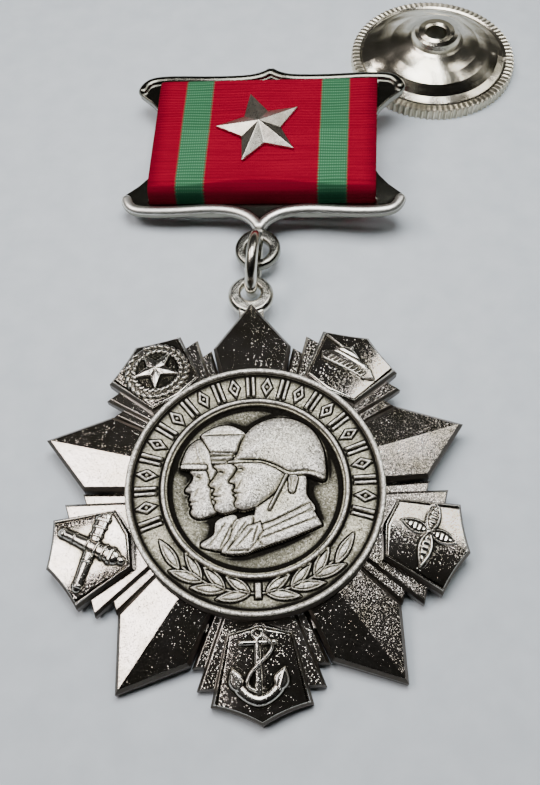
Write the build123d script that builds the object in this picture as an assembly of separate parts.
from build123d import *
import math
import os

# Service medal on a ribbon pad, lying face up with its screw nut beside it.
# Units: millimetres. +Z up, face up, +Y from the star towards the ribbon pad.
# The row origin is the middle of the object's footprint on the surface it lies on.

# ---------------------------------------------------------------- driving dimensions
TIP_R = 20.0            # star centre to a ray's tip (38 mm between opposite tips)
SHIELD_R = 18.92        # star centre to a shield's outer point
RAY_SHOULDER = (14.84, 3.70)
RAY_INNER_HALF = 2.30   # half width of a ray where it runs under the medallion
RAY_TIP_Z = 1.05
RAY_RISE = 0.185        # ridge slope
RAY_FALL = 0.162        # facet slope away from the ridge
EDGE_BEVEL = 0.28
SHIELD_CORNER = (17.37, 4.11)
SHIELD_ARC = (18.00, 1.92)
SHIELD_NOTCH = (11.90, 2.70)
SHIELD_PEAK = 11.20
SHIELD_TIP_Z = 1.40
SHIELD_RISE = 0.16
SHIELD_CROWN_R = 15.0
STEP_1 = (16.10, 5.23, 0.38)   # outer end, half width there, side slope
STEP_2 = (14.35, 5.62, 0.42)
STEP_1_Z = 0.95
STEP_2_Z = 0.90
STEP_RISE = 0.15
SEAT_R = 11.16
SEAT_Z = 2.30
SEAT_GAP = 0.01

MEDALLION_R = 11.10
RIM_Z = 4.20
BAND_Z = 3.72
BAND_OUT_R = 10.50
BAND_IN_R = 8.30
FIELD_R = 7.75
FIELD_Z = 3.05
FRIEZE_COUNT = 25
FRIEZE_FROM = -17.0
FRIEZE_TO = 199.0

RIVET_R = 0.75
RIVET_X = 6.0
RIVET_HEAD_R = 1.5
RIVET_HEAD_T = 0.45

EYELET_Y = 21.22
EYELET_R = 2.25
EYELET_HOLE_R = 1.02
EYELET_HOLE_Y = EYELET_Y + 0.22   # the hole sits a little off centre, where the ring pulls
EYELET_T = 0.80

RING_R = 2.85           # wire centre line
WIRE_R = 0.58
RING_BIAS = 0.06        # the ring sits a little towards the pad, to clear both holes

RIBBON_W = 24.0
CORE_W = 23.4
PLATE_Z = (-2.65, -1.85)
RAIL_Z = -2.05
RAIL_R = 0.60
WING_X = 14.55
PAD_EAR_Y = -13.62
PAD_EAR_R = 2.35
PAD_EAR_HOLE_R = 1.20
PAD_EAR_HOLE_Y = PAD_EAR_Y - 0.20
PAD_EAR_T = 0.85
PAD_EAR_Z = -2.25

POST_R = 1.50
THREAD_PITCH = 0.50
POST_LENGTH = 2.42      # clear length under the flange
FLANGE_R = 3.20
FLANGE_T = 0.50

PAD_STAR_R = 4.75
PAD_STAR_INNER_R = 2.25
PAD_STAR_POS = (-0.45, 0.25)
PAD_STAR_TURN = 16.0
PAD_STAR_Z = 1.35

NUT_R = 9.75
NUT_RIM_T = 1.30
HUB_R = 2.75
HUB_TOP = 4.60
HUB_BORE_R = 1.25
KNURL_COUNT = 90

# ---------------------------------------------------------------- placing
ORIGIN = (6.7145, 23.6436)  # star centre to footprint centre
STAR_TILT = 3.0         # the star rests on its lowest point and on the ring
STAR_LIFT = SHIELD_R * math.sin(math.radians(STAR_TILT))
PAD_POS = (1.96, 40.41, 5.68)
PAD_TURN = (-5.46, 4.98, -3.55)  # about Z, then X, then Y
NUT_POS = (22.70, 56.50, 0.0)

ROW = Pos(-ORIGIN[0], -ORIGIN[1], 0)
STAR = ROW * Pos(0, 0, STAR_LIFT) * Rot(STAR_TILT, 0, 0)
PAD = ROW * Pos(*PAD_POS) * Rot(0, 0, PAD_TURN[0]) * Rot(PAD_TURN[1], 0, 0) * Rot(0, PAD_TURN[2], 0)
NUT = ROW * Pos(*NUT_POS)

RAY_ANGLES = [90, 18, -54, -126, 162]
SHIELD_ANGLES = [-90, -18, 54, 126, 198]


def poly(points):
    """Flat face through a closed list of 2-D points."""
    return make_face(Polyline(*[(p[0], p[1], 0) for p in points], close=True))


def slab(points, low, high):
    """Vertical prism between two heights."""
    return Pos(0, 0, low) * extrude(poly(points), high - low)


def inset(points, offsets):
    """Move each edge of a counter-clockwise outline inwards by its own offset."""
    count = len(points)
    lines = []
    for i in range(count):
        (ax, ay), (bx, by) = points[i], points[(i + 1) % count]
        length = math.hypot(bx - ax, by - ay)
        nx, ny = -(by - ay) / length, (bx - ax) / length
        lines.append((nx, ny, nx * ax + ny * ay + offsets[i]))
    result = []
    for i in range(count):
        (n1x, n1y, c1), (n2x, n2y, c2) = lines[i - 1], lines[i]
        det = n1x * n2y - n1y * n2x
        result.append(((c1 * n2y - c2 * n1y) / det, (n1x * c2 - n2x * c1) / det))
    return result


def struck(points, offsets, top):
    """Prism with a sloping flat top and a bevel along every edge that has an offset."""
    count = len(points)
    inner = inset(points, offsets)
    low = [(x, y, 0.0) for x, y in points]
    mid = []
    for i, (x, y) in enumerate(points):
        drop = EDGE_BEVEL if offsets[i] or offsets[i - 1] else 0.0
        mid.append((x, y, top(x, y) - drop))
    high = [(x, y, top(x, y)) for x, y in inner]
    faces = [list(reversed(low)), high]
    for i in range(count):
        j = (i + 1) % count
        if offsets[i]:
            faces.append([low[i], low[j], mid[j], mid[i]])
            faces.append([mid[i], mid[j], high[j], high[i]])
            continue
        ring = [low[i], low[j], mid[j]]
        if math.dist(mid[j], high[j]) > 1e-6:
            ring.append(high[j])
        ring.append(high[i])
        if math.dist(mid[i], high[i]) > 1e-6:
            ring.append(mid[i])
        faces.append(ring)
    return Solid(Shell([Face(Wire.make_polygon([Vector(*p) for p in f], close=True)) for f in faces]))


def five_star(outer, inner, turn=90.0):
    points = []
    for i in range(10):
        radius = outer if i % 2 == 0 else inner
        angle = math.radians(turn + 36 * i)
        points.append((radius * math.cos(angle), radius * math.sin(angle)))
    return points


def faceted_star(outer, inner, apex, skirt, turn=90.0):
    """Star-shaped low pyramid on a short vertical skirt."""
    ring = five_star(outer, inner, turn)
    low = [(x, y, 0.0) for x, y in ring]
    mid = [(x, y, skirt) for x, y in ring]
    top = (0.0, 0.0, apex)
    faces = [list(reversed(low))]
    for i in range(10):
        j = (i + 1) % 10
        faces.append([low[i], low[j], mid[j], mid[i]])
        faces.append([mid[i], mid[j], top])
    return Solid(Shell([Face(Wire.make_polygon([Vector(*p) for p in f], close=True)) for f in faces]))


def ray():
    def top(x, y):
        return RAY_TIP_Z + (TIP_R - x) * RAY_RISE - RAY_FALL * abs(y)

    sx, sy = RAY_SHOULDER
    upper = [(8.0, 0.0), (TIP_R, 0.0), (sx, sy), (8.0, RAY_INNER_HALF)]
    lower = [(8.0, 0.0), (8.0, -RAY_INNER_HALF), (sx, -sy), (TIP_R, 0.0)]
    bevel = EDGE_BEVEL
    half = struck(upper, [0, bevel, bevel, 0], top)
    other = struck(lower, [0, bevel, bevel, 0], top)
    return half + other


def step(spec, end_z):
    """Low terrace beside a shield, one side each way."""
    end, half, slope = spec
    tail = half - (end - 8.0) * slope
    points = [(8.0, -tail), (end, -half), (end, half), (8.0, tail)]

    def top(x, y):
        return end_z + (end - x) * STEP_RISE

    return struck(points, [EDGE_BEVEL, 0.12, EDGE_BEVEL, 0], top)


def shield_outline():
    cx, cy = SHIELD_CORNER
    ax, ay = SHIELD_ARC
    nx, ny = SHIELD_NOTCH
    side_a = Line((nx, -ny), (cx, -cy))
    arc_a = ThreePointArc((cx, -cy), (ax, -ay), (SHIELD_R, 0))
    arc_b = ThreePointArc((SHIELD_R, 0), (ax, ay), (cx, cy))
    side_b = Line((cx, cy), (nx, ny))
    vee_a = Line((nx, ny), (SHIELD_PEAK, 0))
    vee_b = Line((SHIELD_PEAK, 0), (nx, -ny))
    return make_face([side_a, arc_a, arc_b, side_b, vee_a, vee_b])


def crown(lift=0.0):
    """Tilted cylinder whose upper surface is the shields' domed face."""
    angle = math.degrees(math.atan(SHIELD_RISE))
    top_z = SHIELD_TIP_Z + lift
    rod = Cylinder(SHIELD_CROWN_R, 60, rotation=(0, 90, 0))
    return Pos(SHIELD_R, 0, top_z) * Rot(0, angle, 0) * Pos(0, 0, -SHIELD_CROWN_R) * rod


def emblem(shape, lift=0.10):
    """Raised flat picture that follows the shield's domed face."""
    return (Pos(0, 0, 0.5) * extrude(shape, 3.5)) & crown(lift)


def bar(start, end, width_a, width_b):
    (ax, ay), (bx, by) = start, end
    length = math.hypot(bx - ax, by - ay)
    nx, ny = -(by - ay) / length, (bx - ax) / length
    return poly([
        (ax + nx * width_a, ay + ny * width_a),
        (ax - nx * width_a, ay - ny * width_a),
        (bx - nx * width_b, by - ny * width_b),
        (bx + nx * width_b, by + ny * width_b),
    ])


def anchor():
    shank = bar((12.3, 0.0), (17.0, 0.0), 0.26, 0.34)
    stock = bar((12.75, -1.45), (12.75, 1.45), 0.15, 0.15)
    loop = Pos(11.85, 0) * (Circle(0.62) - Circle(0.34))
    arms = (Pos(14.4, 0) * (Circle(2.62) - Circle(2.15))) & (Pos(16.3, 0) * Rectangle(2.6, 4.0))
    fluke_a = poly([(14.75, 2.05), (16.35, 1.45), (16.1, 2.25)])
    fluke_b = poly([(14.75, -2.05), (16.1, -2.25), (16.35, -1.45)])
    return shank + stock + loop + arms + fluke_a + fluke_b


def propeller():
    blades = Pos(15.1, 0.35) * Circle(0.36)
    for turn in (0, 90, 180, 270):
        blades += Pos(15.1, 0.35) * Rot(0, 0, turn) * Pos(1.55, 0) * Ellipse(1.45, 0.52)
    return blades


def tank():
    hull = poly([(14.35, -2.3), (14.35, 1.9), (15.0, 2.75), (15.45, 2.6), (15.6, -2.4), (15.1, -2.75)])
    turret = poly([(15.5, -1.0), (15.5, 1.2), (16.25, 0.9), (16.35, -0.5)])
    barrel = bar((15.95, 1.0), (16.35, 3.2), 0.16, 0.11)
    return hull + turret + barrel


def crossed_barrels():
    first = bar((13.0, 1.62), (17.2, -2.75), 0.50, 0.28)
    second = bar((12.9, -2.35), (16.9, 2.75), 0.46, 0.28)
    return first + second


def star_in_wreath():
    outline = Pos(15.3, 0) * poly(five_star(2.05, 0.82, 0))
    wreath = Pos(15.15, 0) * (Circle(2.62) - Circle(1.95))
    return outline + wreath


# ---------------------------------------------------------------- star badge
EMBLEMS = {-90: anchor, -18: propeller, 54: tank, 126: star_in_wreath, 198: crossed_barrels}

eyelet_disc = Pos(0, EYELET_Y, 0) * Cylinder(EYELET_R, EYELET_T, align=(Align.CENTER, Align.CENTER, Align.MIN))
eyelet_disc = chamfer(eyelet_disc.edges().group_by(Axis.Z)[-1], 0.32)
tang = Pos(0, 17.2, 0) * Box(2.4, 5.4, 0.60, align=(Align.CENTER, Align.CENTER, Align.MIN))
eyelet_hole = Pos(0, EYELET_HOLE_Y, EYELET_T / 2) * Cylinder(EYELET_HOLE_R, 3)
eyelet = eyelet_disc + tang - eyelet_hole
hole_edges = [e for e in eyelet.edges().filter_by(GeomType.CIRCLE) if abs(e.radius - EYELET_HOLE_R) < 1e-3]
eyelet = chamfer(hole_edges, 0.18)

star = Pos(0, 0, SEAT_Z / 2) * Cylinder(11.0, SEAT_Z)
star += Pos(0, 0, 0.55) * Cylinder(12.4, 1.10)
one_ray = ray()
one_step_1 = step(STEP_1, STEP_1_Z)
one_step_2 = step(STEP_2, STEP_2_Z)
one_shield = extrude(shield_outline(), 4.0) & crown()
top_face = one_shield.faces().sort_by(Axis.Z)[-1]
one_shield = chamfer(top_face.edges(), 0.20)
for angle in RAY_ANGLES:
    star += Rot(0, 0, angle) * one_ray
for angle in SHIELD_ANGLES:
    star += Rot(0, 0, angle) * one_step_2
    star += Rot(0, 0, angle) * one_step_1
    star += Rot(0, 0, angle) * one_shield
    star += Rot(0, 0, angle) * emblem(EMBLEMS[angle]())
star -= Pos(0, 0, SEAT_Z + 3) * Cylinder(SEAT_R, 6)

rivet = Pos(0, 0, 1.45) * Cylinder(RIVET_R, 2.9)
rivet_head = Pos(0, 0, -RIVET_HEAD_T / 2) * Cylinder(RIVET_HEAD_R, RIVET_HEAD_T)
rivet_head = chamfer(rivet_head.edges().group_by(Axis.Z)[0], 0.25)
rivet = rivet + rivet_head
rivets = {
    "rivet_left": Pos(-RIVET_X, 0, 0) * rivet,
    "rivet_right": Pos(RIVET_X, 0, 0) * rivet,
}
for solid in rivets.values():
    star -= solid
star -= eyelet_disc + tang

# ---------------------------------------------------------------- medallion
profile = [
    (0, SEAT_Z + SEAT_GAP), (MEDALLION_R - 0.15, SEAT_Z + SEAT_GAP), (MEDALLION_R, SEAT_Z + 0.15),
    (MEDALLION_R, RIM_Z - 0.22), (MEDALLION_R - 0.20, RIM_Z), (MEDALLION_R - 0.42, RIM_Z),
    (BAND_OUT_R + 0.04, BAND_Z), (BAND_IN_R, BAND_Z), (BAND_IN_R - 0.12, RIM_Z - 0.02),
    (BAND_IN_R - 0.38, RIM_Z - 0.02), (FIELD_R, FIELD_Z + 0.62), (6.2, FIELD_Z + 0.36),
    (4.4, FIELD_Z + 0.14), (2.2, FIELD_Z + 0.02), (0, FIELD_Z),
]
medallion = revolve(Plane.XZ * poly(profile), Axis.Z)
stride = (FRIEZE_TO - FRIEZE_FROM) / (FRIEZE_COUNT - 1)
for index in range(FRIEZE_COUNT):
    if index % 2 == 0:
        outline = poly([(8.78, -0.27), (10.12, -0.33), (10.12, 0.33), (8.78, 0.27)])
    else:
        outline = poly([(8.82, 0), (9.45, -0.42), (10.08, 0), (9.45, 0.42)])
    block = Pos(0, 0, BAND_Z - 0.2) * extrude(outline, 0.42)
    medallion += Rot(0, 0, FRIEZE_FROM + stride * index) * block

for side in (-1, 1):
    for radius, starts in ((8.95, (7, 20, 33, 46)), (9.85, (14, 27, 40))):
        for start in starts:
            outline = Circle(1.35) & (Pos(2.02, 0) * Circle(1.35))
            blade = Pos(-1.01, 0, BAND_Z - 0.2) * extrude(outline, 0.40)
            turn = -90 + side * (start + 3)
            medallion += Rot(0, 0, turn) * Pos(radius, 0, 0) * Rot(0, 0, side * 12) * blade
tie = Pos(0, -9.2, BAND_Z + 0.05) * Box(0.9, 0.55, 0.5)
medallion += tie

# three overlapping heads facing left, as low silhouettes on the sunk field; the nearest is at the right
head_front = [
    (-2.1, 2.2), (-1.5, 3.0), (-0.9, 4.4), (0.1, 5.6), (2.2, 6.25), (4.2, 5.7), (5.5, 4.4), (6.05, 2.6),
    (5.8, 0.3), (4.4, 0.9), (4.4, -1.7), (5.5, -3.7), (-0.7, -5.7), (-0.9, -3.0), (-1.3, -2.2), (-2.0, 0.2),
]
head_mid = [
    (-4.6, 4.7), (-2.7, 5.6), (-0.9, 4.6), (-0.4, -3.4), (-0.9, -5.5), (-2.8, -5.6), (-2.9, -3.1),
    (-3.5, -2.2), (-4.0, 0.2), (-3.6, 2.0),
]
head_back = [
    (-6.2, 2.2), (-6.0, 3.2), (-5.4, 4.1), (-4.5, 4.5), (-3.2, 2.0), (-2.6, -5.3), (-4.4, -5.0),
    (-3.9, -3.3), (-5.2, -3.1), (-5.6, -2.2), (-6.1, 0.2),
]
for outline, height in ((head_back, 3.70), (head_mid, 3.85), (head_front, 4.00)):
    medallion += slab(outline, 2.9, height)
for solid in rivets.values():
    medallion -= solid

# ---------------------------------------------------------------- ring
low_hole = (STAR * Pos(0, EYELET_Y, EYELET_T / 2)).position
high_hole = (PAD * Pos(0, PAD_EAR_Y, PAD_EAR_Z)).position
ring_z = RING_R + WIRE_R + 0.02
run = high_hole - low_hole
ring_turn = -math.degrees(math.atan2(run.X, run.Y))
reach_low = math.sqrt(RING_R ** 2 - (ring_z - low_hole.Z) ** 2)
reach_high = math.sqrt(RING_R ** 2 - (ring_z - high_hole.Z) ** 2)
span = math.hypot(run.X, run.Y)
slack = (span - reach_low - reach_high) / 2
share = (slack + reach_low + RING_BIAS) / span
ring_centre = (low_hole.X + run.X * share, low_hole.Y + run.Y * share, ring_z)
RING = Pos(*ring_centre) * Rot(0, 0, ring_turn)
ring = Rot(0, 90, 0) * Torus(RING_R, WIRE_R)

# ---------------------------------------------------------------- ribbon pad frame
half_outline = [
    (0.0, -11.35), (0.75, -10.45), (1.75, -9.75), (3.2, -9.45), (10.0, -9.45), (12.9, -9.30),
    (14.05, -8.75), (WING_X + 0.45, -7.85), (WING_X + 0.35, -7.15), (13.3, -5.75), (12.35, -4.6), (11.7, -3.4),
]
top_outline = [
    (11.7, 3.4), (12.35, 4.6), (13.3, 5.75), (WING_X + 0.35, 7.15), (WING_X + 0.45, 7.85),
    (14.05, 8.75), (12.9, 9.30), (10.0, 9.45), (3.2, 9.45), (1.4, 9.75), (0.0, 10.35),
]
right_side = half_outline + top_outline
left_side = [(-x, y) for x, y in reversed(right_side) if x > 0]
plate = slab(right_side + left_side, PLATE_Z[0], PLATE_Z[1])


def rail_path(sign, apex):
    tip = (WING_X, sign * 7.6)
    points = [tip, (13.7, sign * 8.75), (12.3, sign * 9.05), (8.0, sign * 9.0), (3.4, sign * 9.0)]
    points += [(1.6, sign * (8.95 + (apex - 9.0) * 0.30)), (0.15, sign * apex)]
    return points


def rail(sign, side, apex):
    path = [(side * x, y, RAIL_Z) for x, y in rail_path(sign, apex)]
    spine = Spline(*path)
    start = Plane(origin=spine @ 0, z_dir=spine % 0)
    body = sweep(start * Circle(RAIL_R), path=spine)
    return body + Pos(*path[0]) * Sphere(RAIL_R) + Pos(*path[-1]) * Sphere(RAIL_R)


frame = plate
for side in (-1, 1):
    frame += rail(-1, side, 11.0)
    frame += rail(1, side, 9.95)
pad_ear = Pos(0, PAD_EAR_Y, PAD_EAR_Z) * Cylinder(PAD_EAR_R, PAD_EAR_T)
pad_ear = fillet(pad_ear.edges().group_by(Axis.Z)[-1], 0.40)
frame += pad_ear
frame -= Pos(0, PAD_EAR_HOLE_Y, PAD_EAR_Z) * Cylinder(PAD_EAR_HOLE_R, 4)
ear_edges = [e for e in frame.edges().filter_by(GeomType.CIRCLE) if abs(e.radius - PAD_EAR_HOLE_R) < 1e-3]
frame = chamfer(ear_edges, 0.22)
for sign in (-1, 1):
    frame -= Pos(0, sign * 7.95, -2.3) * Box(RIBBON_W + 0.1, 0.60, 1.4)

# ---------------------------------------------------------------- ribbon and its filler
core_profile = [(-6.75, -0.41), (6.75, -0.41), (7.25, -1.0), (7.55, PLATE_Z[1]), (-7.55, PLATE_Z[1]), (-7.25, -1.0)]
core = extrude(Plane.YZ * poly(core_profile), CORE_W / 2, both=True)

outer_path = [
    (-6.9, 0.0), (6.9, 0.0), (7.55, -0.28), (7.95, -1.0), (8.2, -1.9), (8.2, -2.75), (7.9, -3.06),
    (-7.9, -3.06), (-8.2, -2.75), (-8.2, -1.9), (-7.95, -1.0), (-7.55, -0.28),
]
inner_path = [
    (-6.75, -0.40), (6.75, -0.40), (7.26, -0.98), (7.66, -1.85), (7.68, -2.66), (-7.68, -2.66),
    (-7.66, -1.85), (-7.26, -0.98),
]
ribbon = extrude(Plane.YZ * poly(outer_path), RIBBON_W / 2, both=True)
ribbon -= extrude(Plane.YZ * poly(inner_path), RIBBON_W / 2 + 1, both=True)
ribbon -= Pos(0, 0, -2.9) * Cylinder(FLANGE_R + 0.2, 0.6)

# ---------------------------------------------------------------- screw post
flange = Pos(0, 0, PLATE_Z[0] - FLANGE_T / 2) * Cylinder(FLANGE_R, FLANGE_T)
post_top = PLATE_Z[0] - FLANGE_T
post_end = post_top - POST_LENGTH
root_r = POST_R - 0.26
crest = THREAD_PITCH * 0.40
thread_profile = [(0, post_top + 0.2), (POST_R, post_top + 0.2), (POST_R, post_top - 0.20)]
level = post_top - 0.20
while level - THREAD_PITCH > post_end + 0.20:
    thread_profile.append((root_r, level - (THREAD_PITCH - crest) / 2))
    thread_profile.append((POST_R, level - THREAD_PITCH + crest))
    thread_profile.append((POST_R, level - THREAD_PITCH))
    level -= THREAD_PITCH
thread_profile.append((root_r, post_end))
thread_profile.append((0, post_end))
post = revolve(Plane.XZ * poly(thread_profile), Axis.Z) + flange

# ---------------------------------------------------------------- ribbon star and its prongs
pad_star = faceted_star(PAD_STAR_R, PAD_STAR_INNER_R, PAD_STAR_Z, 0.30, 90 + PAD_STAR_TURN)
STAR_ON_PAD = Pos(PAD_STAR_POS[0], PAD_STAR_POS[1], 0)
prongs = {}
for name, x in (("star_prong_left", -1.15), ("star_prong_right", 1.15)):
    prong = Pos(x, 0, -0.92) * Box(0.30, 0.90, 1.84)
    prongs[name] = STAR_ON_PAD * prong
for solid in prongs.values():
    ribbon -= solid
    core -= solid

# ---------------------------------------------------------------- nut
sheet = [
    (HUB_R - 0.6, 3.05), (HUB_R + 0.3, 2.95), (5.0, 2.30), (7.0, 1.35), (8.35, 0.62), (8.7, 0.0),
    (NUT_R - 0.25, 0.0), (NUT_R - 0.25, NUT_RIM_T), (8.75, NUT_RIM_T + 0.02), (8.45, NUT_RIM_T - 0.08),
    (7.2, 1.35 + 0.56), (5.2, 2.30 + 0.55), (HUB_R + 0.5, 3.45), (HUB_R - 0.6, 3.60),
]
nut_disc = revolve(Plane.XZ * poly(sheet), Axis.Z)
tooth = []
for index in range(KNURL_COUNT):
    a0 = math.radians(index * 360 / KNURL_COUNT)
    a1 = math.radians((index + 0.5) * 360 / KNURL_COUNT)
    tooth.append((NUT_R * math.cos(a0), NUT_R * math.sin(a0)))
    tooth.append(((NUT_R - 0.24) * math.cos(a1), (NUT_R - 0.24) * math.sin(a1)))
knurl = slab(tooth, 0.0, NUT_RIM_T - 0.10) - Cylinder(NUT_R - 0.60, 8)
nut_disc += knurl
hub_profile = [
    (HUB_BORE_R, 2.60), (HUB_R - 0.6, 2.60), (HUB_R - 0.6, 3.60), (HUB_R + 0.10, 3.56), (HUB_R + 0.12, 4.0),
    (HUB_R - 0.15, 4.42), (HUB_R - 0.65, HUB_TOP), (HUB_BORE_R + 0.25, HUB_TOP), (HUB_BORE_R, HUB_TOP - 0.25),
]
nut_hub = revolve(Plane.XZ * poly(hub_profile), Axis.Z)

# ---------------------------------------------------------------- placing and export
PIECES = {
    "star_badge": STAR * star,
    "badge_eyelet": STAR * eyelet,
    "medallion": STAR * medallion,
    "rivet_left": STAR * rivets["rivet_left"],
    "rivet_right": STAR * rivets["rivet_right"],
    "jump_ring": RING * ring,
    "pad_frame": PAD * frame,
    "ribbon": PAD * ribbon,
    "ribbon_core": PAD * core,
    "screw_post": PAD * post,
    "ribbon_star": PAD * STAR_ON_PAD * pad_star,
    "star_prong_left": PAD * prongs["star_prong_left"],
    "star_prong_right": PAD * prongs["star_prong_right"],
    "nut_disc": NUT * nut_disc,
    "nut_hub": NUT * nut_hub,
}

os.makedirs("parts", exist_ok=True)
for name, piece in PIECES.items():
    solids = piece.solids()
    body = solids[0] if len(solids) == 1 else Compound(children=list(solids))
    export_step(body, f"parts/{name}.step")
    box = piece.bounding_box()
    low = tuple(round(v, 2) for v in (box.min.X, box.min.Y, box.min.Z))
    high = tuple(round(v, 2) for v in (box.max.X, box.max.Y, box.max.Z))
    print(name, len(solids), "solid(s)", round(piece.volume, 2), "mm3", low, high)

whole = Compound(children=[p.solids()[0] for p in PIECES.values()]).bounding_box()
print("size", [round(v, 3) for v in (whole.size.X, whole.size.Y, whole.size.Z)])
